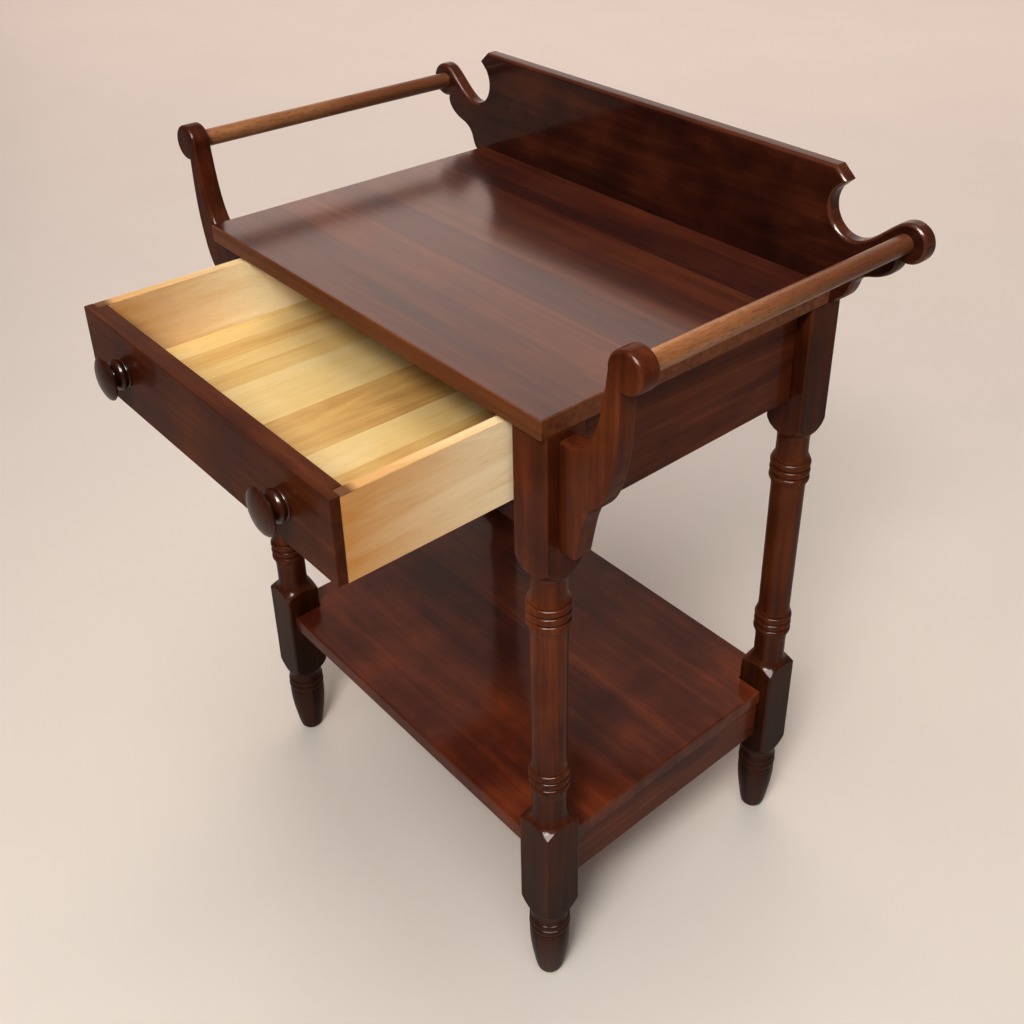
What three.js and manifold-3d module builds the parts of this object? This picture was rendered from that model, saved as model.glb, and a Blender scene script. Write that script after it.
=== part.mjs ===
// A washstand-style side table: turned legs, one drawer, a lower shelf, a backsplash and two towel bars.
// Millimetres. X runs to the right along the front, Y runs to the back, Z is up from the floor.
// Y = 0 is the front face of the front legs until the whole group is centred at the end.

import * as THREE from 'three';
import { mergeVertices } from 'three/addons/utils/BufferGeometryUtils.js';
import Module from 'manifold-3d';

const wasm = await Module();
wasm.setup();

// Driving dimensions
const frameWidth = 538; // over the outer faces of the legs
const frameDepth = 392;
const topHeight = 738; // upper face of the tabletop
const topThickness = 19.5;
const topOverhang = 6; // past the front of the legs
const legSize = 44.5;
const boardThickness = 19; // aprons, rails and stretchers
const gap = 0.3; // glue line or fit between neighbouring pieces

const apronBottom = 609;
const sideApronInset = 17; // from the outer face of the legs
const backApronInset = 3;
const railFrontInset = 3;
const railDepth = 37;

const shelfTop = 208;
const shelfThickness = 18.5;
const shelfFrontInset = 7;
const shelfSideInset = 12;
const stretcherBottom = 136;
const stretcherInset = 15;

const tenonThickness = 9.5;
const tenonLength = 18;
const railTenonLength = 12;

const backsplashFront = 371;
const backsplashThickness = 18;
const backsplashTop = 857.5;
const bracketFront = 12;
const bracketThickness = 22;
const towelBarX = 342.5; // axis of each bar from the centre line
const towelBarHeight = 806;
const towelBarRadius = 9.5;
const towelKnobRadius = 19.2;
const rearKnobX = 345.5; // the backsplash's own knobs, a little larger and further out
const rearKnobRadius = 20;
const frontSocketDepth = 12;
const backSocketDepth = 9;

const drawerOpen = 175; // how far the drawer stands out in the rest pose
const drawerHalfWidth = 219;
const drawerLength = 334.5;
const drawerBottomEdge = 630;
const drawerTopEdge = 715;
const drawerFaceRecess = 0.5;
const drawerSideThickness = 11;
const drawerLip = 9.5; // drawer front left in front of its sides
const panelThickness = 6;
const panelUnderside = 640;
const grooveDepth = 5.5;
const knobX = 143;
const knobLength = 25;

// Points and lengths worked out from the driving dimensions
const halfWidth = frameWidth / 2;
const legInner = halfWidth - legSize;
const legAxisX = halfWidth - legSize / 2;
const frontLegY = legSize / 2;
const backLegY = frameDepth - legSize / 2;
const topUnderside = topHeight - topThickness;
const legTop = topUnderside - gap;
const apronOuter = halfWidth - sideApronInset;
const apronInner = apronOuter - boardThickness;
const backApronBack = frameDepth - backApronInset;
const backApronFront = backApronBack - boardThickness;
const shelfUnderside = shelfTop - shelfThickness;
const stretcherOuter = halfWidth - stretcherInset;
const stretcherInner = stretcherOuter - boardThickness;
const betweenFrom = legSize + gap; // clear run between the front and back legs
const betweenTo = frameDepth - legSize - gap;
const backsplashBack = backsplashFront + backsplashThickness;
const bracketBack = bracketFront + bracketThickness;
const drawerFace = drawerFaceRecess - drawerOpen;
const drawerBackEnd = drawerFace + drawerLength;
const drawerMiddle = (drawerBottomEdge + drawerTopEdge) / 2;
const runnerTop = drawerBottomEdge - gap;

// Colours
const stainedCherry = { color: 0x4a1a10, roughness: 0.28, metalness: 0 };
const wornBarWood = { color: 0x8a4a22, roughness: 0.4, metalness: 0 };
const paleMaple = { color: 0xd9b06c, roughness: 0.55, metalness: 0 };
const plainPine = { color: 0xb98d5a, roughness: 0.7, metalness: 0 };
const zincSteel = { color: 0x9a9a98, roughness: 0.35, metalness: 1 };

// Tools
function toSolid(geometry) {
  const bare = geometry.clone();
  bare.deleteAttribute('normal');
  bare.deleteAttribute('uv');
  const merged = mergeVertices(bare, 1e-4);
  const mesh = new wasm.Mesh({
    numProp: 3,
    vertProperties: new Float32Array(merged.attributes.position.array),
    triVerts: new Uint32Array(merged.index.array),
  });
  mesh.merge();
  return new wasm.Manifold(mesh);
}

function toGeometry(solid) {
  const mesh = solid.getMesh();
  const geometry = new THREE.BufferGeometry();
  geometry.setAttribute('position', new THREE.BufferAttribute(new Float32Array(mesh.vertProperties), 3));
  geometry.setIndex(new THREE.BufferAttribute(new Uint32Array(mesh.triVerts), 1));
  return geometry;
}

function cut(body, ...tools) {
  let solid = toSolid(body);
  for (const tool of tools) solid = solid.subtract(toSolid(tool));
  return toGeometry(solid);
}

function join(body, ...extras) {
  let solid = toSolid(body);
  for (const extra of extras) solid = solid.add(toSolid(extra));
  return toGeometry(solid);
}

function block(x, y, z) {
  const geometry = new THREE.BoxGeometry(x[1] - x[0], y[1] - y[0], z[1] - z[0]);
  return geometry.translate((x[0] + x[1]) / 2, (y[0] + y[1]) / 2, (z[0] + z[1]) / 2);
}

function grown(x, y, z, by = gap) {
  return block([x[0] - by, x[1] + by], [y[0] - by, y[1] + by], [z[0] - by, z[1] + by]);
}

// A range from one side of the table, mirrored for the left
function sided(side, from, to) {
  return side > 0 ? [from, to] : [-to, -from];
}

function turned(profile, segments) {
  const points = profile.map(([radius, height]) => new THREE.Vector2(radius, height));
  return new THREE.LatheGeometry(points, segments).rotateX(Math.PI / 2);
}

// Points a shape made along +Z at the given direction, starting at a place
function aimed(geometry, place, direction) {
  const turn = new THREE.Quaternion().setFromUnitVectors(
    new THREE.Vector3(0, 0, 1),
    new THREE.Vector3(...direction),
  );
  return geometry.applyQuaternion(turn).translate(...place);
}

function dowel(place, direction, length, radius, segments = 12) {
  const profile = [[0, 0], [radius, 0], [radius, length], [0, length]];
  return aimed(turned(profile, segments), place, direction);
}

// A countersunk wood screw whose head lies at its place, and the hole that it needs
const screwHeadRadius = 4;
const screwShankRadius = 2;
function screw(place, direction, length) {
  const taper = screwHeadRadius - screwShankRadius + 0.6;
  const profile = [
    [0, 0], [screwHeadRadius, 0], [screwHeadRadius, 0.6], [screwShankRadius, taper],
    [screwShankRadius, length - 6], [0, length],
  ];
  return aimed(turned(profile, 10), place, direction);
}

function screwHole(place, direction, length, counterbore = 2) {
  const wide = screwHeadRadius + gap * 1.5;
  const narrow = screwShankRadius + gap * 1.5;
  const taper = screwHeadRadius - screwShankRadius + 1;
  const profile = [
    [0, -counterbore], [wide, -counterbore], [wide, 0.9], [narrow, taper],
    [narrow, length + gap], [0, length + gap],
  ];
  return aimed(turned(profile, 10), place, direction);
}

// A flat board whose outline lies in the XZ plane
function profiledBoard(outline, front, back) {
  const options = { depth: back - front, bevelEnabled: false, curveSegments: 10 };
  return new THREE.ExtrudeGeometry(outline, options).rotateX(Math.PI / 2).translate(0, back, 0);
}

function mirrored(points) {
  return points.map((point) => new THREE.Vector2(-point.x, point.y)).reverse();
}

const group = new THREE.Group();

function addPart(name, geometry, finish) {
  const mesh = new THREE.Mesh(geometry, new THREE.MeshStandardMaterial(finish));
  mesh.name = name;
  group.add(mesh);
  return mesh;
}

// Legs: a square blank turned between its two blocks, with mortises and dowel holes
const blockRadius = 31; // past the blank's eased corners
const legProfile = [
  [0, 0], [12.6, 0], [14, 2.5], [17, 19], [19.6, 35], [21.6, 53], [22, 66], [21.7, 73],
  [20.8, 75.5], [22, 80], [20.8, 84], [22, 88.5], [20.5, 96], [21.5, 102.5],
  [26, 108.5], [blockRadius, 121], [blockRadius, 234],
  [24.5, 241.5], [18, 248], [17.7, 281],
  [19.6, 287], [20.7, 291.5], [19.7, 295.8], [20.9, 300], [19.8, 304.3], [21, 309], [20, 314], [18, 319],
  [18.5, 493],
  [20.2, 499.5], [21.4, 504.5], [20.2, 509], [21.6, 514], [20.2, 518.8], [21.5, 524], [17.7, 534],
  [17.4, 561.5], [24, 567], [28.5, 574.5], [blockRadius, 584], [blockRadius, legTop], [0, legTop],
];
const legCornerEase = 2.5;

function legBlank() {
  const half = legSize / 2;
  const eased = half - legCornerEase;
  const section = new THREE.Shape();
  section.moveTo(half, -eased);
  section.lineTo(half, eased).lineTo(eased, half).lineTo(-eased, half).lineTo(-half, eased);
  section.lineTo(-half, -eased).lineTo(-eased, -half).lineTo(eased, -half).closePath();
  const prism = new THREE.ExtrudeGeometry(section, { depth: legTop, bevelEnabled: false });
  return toGeometry(toSolid(prism).intersect(toSolid(turned(legProfile, 16))));
}

// Tenons as [x, y, z] ranges, each used to make its board and, grown by the gap, to cut its leg
const tenonShoulder = (boardThickness - tenonThickness) / 2;
const apronTenonX = [apronInner + tenonShoulder, apronOuter - tenonShoulder];
const stretcherTenonX = [stretcherInner + tenonShoulder, stretcherOuter - tenonShoulder];
const backTenonY = [backApronFront + tenonShoulder, backApronBack - tenonShoulder];
const apronTenonZ = [apronBottom + 10, legTop - 14];
const stretcherTenonZ = [stretcherBottom + 8, shelfUnderside - 8];
const railTop = apronBottom + boardThickness;
const railTenonZ = [apronBottom + 4, railTop - 4];
const railTenonY = [railFrontInset + 5, railFrontInset + railDepth - 5];
const frontTenonY = [legSize - tenonLength, betweenFrom + 1];
const rearTenonY = [betweenTo - 1, frameDepth - legSize + tenonLength];

const dowelRadius = 4;
const dowelReach = 18; // into the leg, and again into the bracket
const bracketDowelHeights = [634, 690];
const bracketMiddleY = (bracketFront + bracketBack) / 2;

const bracketDowels = [];
for (const side of [-1, 1]) {
  for (const height of bracketDowelHeights) {
    const place = [side * (halfWidth - dowelReach + gap), bracketMiddleY, height];
    bracketDowels.push({ side, place, direction: [side, 0, 0] });
  }
}
const dowelLength = 2 * (dowelReach - gap);

function dowelHole({ side, place, direction }) {
  const start = [place[0] - side * gap, place[1], place[2]];
  return dowel(start, direction, dowelLength + 2 * gap, dowelRadius + gap);
}

const blank = legBlank();
for (const side of [-1, 1]) {
  const name = side > 0 ? 'right' : 'left';
  const tenonX = sided(side, ...apronTenonX);
  const lowTenonX = sided(side, ...stretcherTenonX);

  const frontMortises = [
    grown(tenonX, frontTenonY, apronTenonZ),
    grown(lowTenonX, frontTenonY, stretcherTenonZ),
    grown(sided(side, legInner - 1, legInner + railTenonLength), railTenonY, railTenonZ),
    ...bracketDowels.filter((pin) => pin.side === side).map(dowelHole),
  ];
  const frontLeg = blank.clone().translate(side * legAxisX, frontLegY, 0);
  addPart(`front_${name}_leg`, cut(frontLeg, ...frontMortises), stainedCherry);

  const backMortises = [
    grown(tenonX, rearTenonY, apronTenonZ),
    grown(lowTenonX, rearTenonY, stretcherTenonZ),
    grown(sided(side, legInner - 1, legInner + railTenonLength), backTenonY, apronTenonZ),
  ];
  const backLeg = blank.clone().translate(side * legAxisX, backLegY, 0);
  addPart(`back_${name}_leg`, cut(backLeg, ...backMortises), stainedCherry);
}

// Aprons, stretchers, runners, guides, cleats and stops, made for each side
const runnerWidth = 25;
const runnerHeight = runnerTop - apronBottom - 1;
const guideInner = drawerHalfWidth + 1.5;
const guideHeight = 18;
const stopHeight = 15;
const cleatHeight = 20;
const runnerScrewYs = [90, 300];
const runnerScrewLength = 36;
const topScrewYs = [110, 290];
const topScrewLength = 32;
const shelfScrewYs = [100, 290];
const shelfScrewLength = 42;
const cleatMiddleX = (guideInner + apronInner) / 2;
const stretcherMiddleX = (stretcherInner + stretcherOuter) / 2;
const runnerMiddleZ = apronBottom + 1 + runnerHeight / 2;
const runnerFace = apronInner - gap - runnerWidth;
const shelfScrewHeight = shelfTop - 7 - shelfScrewLength;
const topScrewHeight = topHeight - 7 - topScrewLength;

const runnerScrews = { '-1': [], 1: [] };
const topScrews = { '-1': [], 1: [] };
const shelfScrews = { '-1': [], 1: [] };
for (const side of [-1, 1]) {
  for (const y of runnerScrewYs) {
    runnerScrews[side].push([[side * runnerFace, y, runnerMiddleZ], [side, 0, 0]]);
  }
  for (const y of topScrewYs) {
    topScrews[side].push([[side * cleatMiddleX, y, topScrewHeight], [0, 0, 1]]);
  }
  for (const y of shelfScrewYs) {
    shelfScrews[side].push([[side * stretcherMiddleX, y, shelfScrewHeight], [0, 0, 1]]);
  }
}
const counterboreDepth = shelfScrewHeight - stretcherBottom + 1;

for (const side of [-1, 1]) {
  const name = side > 0 ? 'right' : 'left';
  const between = [betweenFrom, betweenTo];
  const runnerHoles = runnerScrews[side].map(([place, way]) => screwHole(place, way, runnerScrewLength));
  const topHoles = topScrews[side].map(([place, way]) => screwHole(place, way, topScrewLength, 4));
  const shelfHoles = shelfScrews[side].map(
    ([place, way]) => screwHole(place, way, shelfScrewLength, counterboreDepth),
  );

  const apron = join(
    block(sided(side, apronInner, apronOuter), between, [apronBottom, legTop]),
    block(sided(side, ...apronTenonX), [frontTenonY[0], betweenFrom + 1], apronTenonZ),
    block(sided(side, ...apronTenonX), [betweenTo - 1, rearTenonY[1]], apronTenonZ),
  );
  addPart(`${name}_side_apron`, cut(apron, ...runnerHoles), stainedCherry);

  const stretcher = join(
    block(sided(side, stretcherInner, stretcherOuter), between, [stretcherBottom, shelfUnderside - gap]),
    block(sided(side, ...stretcherTenonX), [frontTenonY[0], betweenFrom + 1], stretcherTenonZ),
    block(sided(side, ...stretcherTenonX), [betweenTo - 1, rearTenonY[1]], stretcherTenonZ),
  );
  addPart(`${name}_stretcher`, cut(stretcher, ...shelfHoles), stainedCherry);

  const runner = block(sided(side, runnerFace, apronInner - gap), between, [apronBottom + 1, runnerTop]);
  addPart(`${name}_drawer_runner`, cut(runner, ...runnerHoles), plainPine);

  const guideX = sided(side, guideInner, apronInner - gap);
  const guide = block(guideX, between, [runnerTop + gap, runnerTop + guideHeight]);
  addPart(`${name}_drawer_guide`, guide, plainPine);

  const cleat = block(guideX, between, [legTop - cleatHeight, legTop]);
  addPart(`${name}_top_cleat`, cut(cleat, ...topHoles), plainPine);

  const stopFront = drawerFaceRecess + drawerLength + 0.5;
  const stopX = sided(side, runnerFace + 2, drawerHalfWidth);
  const stop = block(stopX, [stopFront, betweenTo], [runnerTop + gap, runnerTop + stopHeight]);
  addPart(`${name}_drawer_stop`, stop, plainPine);

  runnerScrews[side].forEach(([place, way], index) => {
    addPart(`${name}_runner_screw_${index + 1}`, screw(place, way, runnerScrewLength), zincSteel);
  });
  topScrews[side].forEach(([place, way], index) => {
    addPart(`${name}_top_screw_${index + 1}`, screw(place, way, topScrewLength), zincSteel);
  });
  shelfScrews[side].forEach(([place, way], index) => {
    addPart(`${name}_shelf_screw_${index + 1}`, screw(place, way, shelfScrewLength), zincSteel);
  });
}

// Back apron and the rail under the drawer
const endTenon = (yRange, zRange) => [-1, 1].map(
  (side) => block(sided(side, legInner - 1, legInner + railTenonLength - gap), yRange, zRange),
);
const backApron = join(
  block([-legInner + gap, legInner - gap], [backApronFront, backApronBack], [apronBottom, legTop]),
  ...endTenon(backTenonY, apronTenonZ),
);
addPart('back_apron', backApron, stainedCherry);

const railY = [railFrontInset, railFrontInset + railDepth];
const frontRail = join(
  block([-legInner + gap, legInner - gap], railY, [apronBottom, railTop]),
  ...endTenon(railTenonY, railTenonZ),
);
addPart('front_rail', frontRail, stainedCherry);

// Tabletop, screwed up through the cleats and back through the backsplash
const backsplashScrewXs = [-180, -60, 60, 180];
const backsplashScrewLength = 40;
const topMiddle = topHeight - topThickness / 2;
const backsplashScrews = backsplashScrewXs.map((x) => [[x, backsplashBack, topMiddle], [0, -1, 0]]);
const backsplashHoles = backsplashScrews.map(
  ([place, way]) => screwHole(place, way, backsplashScrewLength),
);
const allTopHoles = [...topScrews[-1], ...topScrews[1]].map(
  ([place, way]) => screwHole(place, way, topScrewLength),
);
const topY = [-topOverhang, backsplashFront - gap];
const topBoard = block([-halfWidth, halfWidth], topY, [topUnderside, topHeight]);
addPart('tabletop', cut(topBoard, ...allTopHoles, ...backsplashHoles), stainedCherry);
backsplashScrews.forEach(([place, way], index) => {
  addPart(`backsplash_screw_${index + 1}`, screw(place, way, backsplashScrewLength), zincSteel);
});

// Shelf, notched round the lower blocks of the legs
const shelfHalfWidth = halfWidth - shelfSideInset;
const shelfBack = frameDepth - shelfFrontInset;
const notchDepthY = legSize + gap;
const shelfOutline = new THREE.Shape();
shelfOutline.moveTo(-(legInner - gap), shelfFrontInset);
shelfOutline.lineTo(legInner - gap, shelfFrontInset).lineTo(legInner - gap, notchDepthY);
shelfOutline.lineTo(shelfHalfWidth, notchDepthY).lineTo(shelfHalfWidth, frameDepth - notchDepthY);
shelfOutline.lineTo(legInner - gap, frameDepth - notchDepthY).lineTo(legInner - gap, shelfBack);
shelfOutline.lineTo(-(legInner - gap), shelfBack).lineTo(-(legInner - gap), frameDepth - notchDepthY);
shelfOutline.lineTo(-shelfHalfWidth, frameDepth - notchDepthY).lineTo(-shelfHalfWidth, notchDepthY);
shelfOutline.lineTo(-(legInner - gap), notchDepthY).closePath();
const shelfBlank = new THREE.ExtrudeGeometry(shelfOutline, { depth: shelfThickness, bevelEnabled: false });
shelfBlank.translate(0, 0, shelfUnderside);
const allShelfHoles = [...shelfScrews[-1], ...shelfScrews[1]].map(
  ([place, way]) => screwHole(place, way, shelfScrewLength),
);
addPart('shelf', cut(shelfBlank, ...allShelfHoles), stainedCherry);

// Backsplash: straight top, a pointed nose at each end, a round bite, and an arm out to the towel bar
const noseX = 272;
const noseHeight = 845;
const noseSlopeX = 258;
const biteCentre = { x: 285, z: 819 };
const biteRadius = 28.5;
const degrees = Math.PI / 180;

function backsplashRightEnd() {
  const end = new THREE.Path();
  const armStart = 115 * degrees;
  const armEnd = -112 * degrees;
  const knob = (angle) => [
    rearKnobX + rearKnobRadius * Math.cos(angle),
    towelBarHeight + rearKnobRadius * Math.sin(angle),
  ];
  end.moveTo(0, backsplashTop);
  end.lineTo(noseSlopeX, backsplashTop).lineTo(noseX, noseHeight);
  end.absarc(biteCentre.x, biteCentre.z, biteRadius, 147 * degrees, 270 * degrees, false);
  end.bezierCurveTo(304, 790.5, 322.5, 817.4, ...knob(armStart));
  end.absarc(rearKnobX, towelBarHeight, rearKnobRadius, armStart, armEnd, true);
  end.bezierCurveTo(341, 777, 330, 765, 310, 760);
  end.bezierCurveTo(302, 757.5, 295.5, 753, 293, 746);
  end.quadraticCurveTo(291, 735, 281, 728);
  end.quadraticCurveTo(276, topUnderside, 266, topUnderside);
  end.lineTo(0, topUnderside);
  return end.getPoints(8);
}

const rightEnd = backsplashRightEnd();
const backsplashOutline = new THREE.Shape([...rightEnd, ...mirrored(rightEnd).slice(1, -1)]);
const towelBarYs = [bracketBack - frontSocketDepth + gap, backsplashFront + backSocketDepth - gap];
const barSockets = [-1, 1].map((side) => dowel(
  [side * towelBarX, towelBarYs[0] - gap, towelBarHeight],
  [0, 1, 0],
  towelBarYs[1] - towelBarYs[0] + 2 * gap,
  towelBarRadius + gap,
  20,
));
const backsplashBoard = profiledBoard(backsplashOutline, backsplashFront, backsplashBack);
addPart('backsplash', cut(backsplashBoard, ...barSockets, ...backsplashHoles), stainedCherry);

// Towel brackets: a foot against the leg, a belly, a neck and a round knob that overhangs outwards
function bracketOutline() {
  const outline = new THREE.Path();
  const inner = halfWidth + gap;
  outline.moveTo(inner, 604);
  outline.quadraticCurveTo(inner, 598, inner + 6, 598);
  outline.lineTo(287, 598);
  outline.quadraticCurveTo(292, 598, 293.5, 605);
  outline.quadraticCurveTo(298, 640, 304.5, 657);
  outline.quadraticCurveTo(321, 667, 329, 696);
  outline.quadraticCurveTo(338, 728, 338.5, towelBarHeight - towelKnobRadius + 1);
  outline.absarc(towelBarX, towelBarHeight, towelKnobRadius, -101 * degrees, 190 * degrees, false);
  outline.bezierCurveTo(319, 770, 313, 723, 285, 714);
  outline.lineTo(inner + 5, 713);
  outline.quadraticCurveTo(inner, 712.5, inner, 706);
  return outline.getPoints(8);
}

const rightBracket = bracketOutline();
for (const side of [-1, 1]) {
  const name = side > 0 ? 'right' : 'left';
  const outline = new THREE.Shape(side > 0 ? rightBracket : mirrored(rightBracket));
  const pins = bracketDowels.filter((pin) => pin.side === side);
  const bracket = profiledBoard(outline, bracketFront, bracketBack);
  addPart(`${name}_towel_bracket`, cut(bracket, ...barSockets, ...pins.map(dowelHole)), stainedCherry);

  const barStart = [side * towelBarX, towelBarYs[0], towelBarHeight];
  const bar = dowel(barStart, [0, 1, 0], towelBarYs[1] - towelBarYs[0], towelBarRadius, 20);
  addPart(`${name}_towel_bar`, bar, wornBarWood);

  pins.forEach(({ place, direction }, index) => {
    const pin = dowel(place, direction, dowelLength, dowelRadius);
    addPart(`${name}_bracket_dowel_${index + 1}`, pin, plainPine);
  });
}

// Drawer, drawn where it stands in the rest pose
const drawerInner = drawerHalfWidth - drawerSideThickness;
const sideStart = drawerFace + drawerLip + gap;
const frontBack = drawerFace + boardThickness;
const backBoard = { from: drawerBackEnd - 20, thickness: 11, dado: 4, top: 711 };
const backBoardY = [backBoard.from, backBoard.from + backBoard.thickness];
const grooveZ = [panelUnderside - gap, panelUnderside + panelThickness + gap];
const knobScrewLength = 32;
const knobProfile = [
  [0, 0], [14, 0], [14.4, 1], [13.6, 2], [15.4, 6.2], [13.4, 10.4], [9.4, 13], [10.5, 15],
  [20.6, 17], [22, 19], [20.6, 21], [12, 24], [0, knobLength],
];

const drawerZ = [drawerBottomEdge, drawerTopEdge];
const frontBoard = block([-drawerHalfWidth, drawerHalfWidth], [drawerFace, frontBack], drawerZ);
const frontCuts = [
  block([-drawerInner + gap, drawerInner - gap], [frontBack - grooveDepth, frontBack + 1], grooveZ),
];
const knobScrews = [];
for (const side of [-1, 1]) {
  frontCuts.push(block(
    sided(side, drawerInner - gap, drawerHalfWidth + 1),
    [drawerFace + drawerLip, frontBack + 1],
    [drawerBottomEdge - 1, drawerTopEdge + 1],
  ));
  knobScrews.push({ side, place: [side * knobX, frontBack, drawerMiddle], direction: [0, -1, 0] });
}
const knobScrewHoles = knobScrews.map(
  ({ place, direction }) => screwHole(place, direction, knobScrewLength),
);
addPart('drawer_front', cut(frontBoard, ...frontCuts, ...knobScrewHoles), stainedCherry);

const bottomHalfWidth = drawerInner + grooveDepth - gap;
const drawerBottom = block(
  [-bottomHalfWidth, bottomHalfWidth],
  [frontBack + gap, backBoardY[1]],
  [panelUnderside, panelUnderside + panelThickness],
);
const bottomTongue = block(
  [-drawerInner + 2 * gap, drawerInner - 2 * gap],
  [frontBack - grooveDepth + gap, frontBack + 1],
  [panelUnderside, panelUnderside + panelThickness],
);
addPart('drawer_bottom', join(drawerBottom, bottomTongue), paleMaple);

const backHalfWidth = drawerInner + backBoard.dado - gap;
const drawerBack = block(
  [-backHalfWidth, backHalfWidth],
  backBoardY,
  [panelUnderside + panelThickness + gap, backBoard.top],
);
addPart('drawer_back', drawerBack, paleMaple);

for (const side of [-1, 1]) {
  const name = side > 0 ? 'right' : 'left';
  const board = block(
    sided(side, drawerInner, drawerHalfWidth),
    [sideStart, drawerBackEnd],
    drawerZ,
  );
  const groove = block(
    sided(side, drawerInner - 1, drawerInner + grooveDepth),
    [sideStart - 1, backBoardY[1] + gap],
    grooveZ,
  );
  const dado = block(
    sided(side, drawerInner - 1, drawerInner + backBoard.dado),
    [backBoardY[0] - gap, backBoardY[1] + gap],
    [grooveZ[0], drawerTopEdge + 1],
  );
  addPart(`${name}_drawer_side`, cut(board, groove, dado), paleMaple);

  const knobPlace = [side * knobX, drawerFace - gap, drawerMiddle];
  const knob = aimed(turned(knobProfile, 20), knobPlace, [0, -1, 0]);
  addPart(`${name}_knob`, cut(knob, ...knobScrewHoles), stainedCherry);
}
knobScrews.forEach(({ side, place, direction }) => {
  const name = side > 0 ? 'right' : 'left';
  addPart(`${name}_knob_screw`, screw(place, direction, knobScrewLength), zincSteel);
});

// The origin is on the floor under the middle of the table as it stands with the drawer open
const knobFront = drawerFace - gap - knobLength;
group.position.y = -(knobFront + frameDepth) / 2;

export default group;
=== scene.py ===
import math

import bmesh
import bpy
from mathutils import Matrix, Vector


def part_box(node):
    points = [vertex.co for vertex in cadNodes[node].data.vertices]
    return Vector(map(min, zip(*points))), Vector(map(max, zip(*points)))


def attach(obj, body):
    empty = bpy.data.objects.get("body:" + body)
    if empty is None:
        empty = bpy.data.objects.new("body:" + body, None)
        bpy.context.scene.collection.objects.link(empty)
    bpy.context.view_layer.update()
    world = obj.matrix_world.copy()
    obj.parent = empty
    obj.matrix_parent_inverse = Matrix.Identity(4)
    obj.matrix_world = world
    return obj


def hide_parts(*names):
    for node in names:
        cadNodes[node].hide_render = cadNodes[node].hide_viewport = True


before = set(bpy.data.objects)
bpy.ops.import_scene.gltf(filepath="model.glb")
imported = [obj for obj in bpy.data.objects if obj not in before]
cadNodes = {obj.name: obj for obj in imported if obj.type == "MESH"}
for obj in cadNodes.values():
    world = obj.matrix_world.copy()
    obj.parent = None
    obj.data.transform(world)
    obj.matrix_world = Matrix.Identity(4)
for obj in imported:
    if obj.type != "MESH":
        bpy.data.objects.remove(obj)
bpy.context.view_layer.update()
bpy.ops.object.select_all(action="DESELECT")
print("loaded", len(cadNodes), "table parts")

sideNames = {-1: "left", 1: "right"}


def mm(value):
    return value / 1000


def openForEditing(piece):
    bpy.ops.object.select_all(action="DESELECT")
    piece.select_set(True)
    bpy.context.view_layer.objects.active = piece
    bpy.ops.object.mode_set(mode="EDIT")


def closeEditing():
    bpy.ops.object.mode_set(mode="OBJECT")


def pick(piece, kind, test):  # selects whatever passes the test in the open piece
    bpy.ops.mesh.select_mode(type=kind)
    bpy.ops.mesh.select_all(action="DESELECT")
    shape = bmesh.from_edit_mesh(piece.data)
    found = {"FACE": shape.faces, "EDGE": shape.edges, "VERT": shape.verts}[kind]
    for item in found:
        if test(item):
            item.select_set(True)
    bmesh.update_edit_mesh(piece.data)


def near(a, b, slack=mm(0.05)):  # close enough to be the same place
    return abs(a - b) < slack


def edgeOn(axis, spot):  # finds edges lying in a plane across the axis
    return lambda edge: all(near(corner.co[axis], spot) for corner in edge.verts)


def edgeAlong(axis):  # finds edges parallel to the axis
    others = [n for n in range(3) if n != axis]
    return lambda edge: all(near(edge.verts[0].co[n], edge.verts[1].co[n]) for n in others)


def roundEdges(piece, test, width, segments=3):
    openForEditing(piece)
    pick(piece, "EDGE", test)
    bpy.ops.mesh.bevel(offset=width, segments=segments, profile=0.5, affect="EDGES", clamp_overlap=False)
    closeEditing()


def nameNew(name):
    piece = bpy.context.view_layer.objects.active
    piece.name = name
    piece.data.name = name
    return piece


def startBlock(name, low, high):  # the start of every board
    low, high = Vector(low), Vector(high)
    bpy.ops.object.select_all(action="DESELECT")
    bpy.ops.mesh.primitive_cube_add(size=1, location=(low + high) / 2, scale=high - low)
    bpy.ops.object.transform_apply(location=True, rotation=True, scale=True)
    return nameNew(name)


def startLine(name, points):  # one corner extruded from point to point, left open for editing
    bpy.ops.object.select_all(action="DESELECT")
    bpy.ops.mesh.primitive_plane_add(size=mm(1), location=(0, 0, 0))
    piece = nameNew(name)
    openForEditing(piece)
    bpy.ops.mesh.select_mode(type="VERT")
    bpy.ops.mesh.select_all(action="SELECT")
    bpy.ops.mesh.merge(type="CENTER")
    bpy.ops.transform.translate(value=points[0])
    for start, end in zip(points, points[1:]):
        step = Vector(end) - Vector(start)
        bpy.ops.mesh.extrude_vertices_move(TRANSFORM_OT_translate={"value": step})
    return piece


weldGap = mm(0.01)


def turnPiece(name, profile, steps):  # spins (radius, height) points round the upright axis
    piece = startLine(name, [(radius, 0, height) for radius, height in profile])
    bpy.ops.mesh.select_all(action="SELECT")
    bpy.ops.mesh.spin(steps=steps, angle=2 * math.pi, center=(0, 0, 0), axis=(0, 0, 1))
    bpy.ops.mesh.select_all(action="SELECT")
    bpy.ops.mesh.remove_doubles(threshold=weldGap)
    bpy.ops.mesh.normals_make_consistent(inside=False)
    closeEditing()
    return piece


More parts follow.
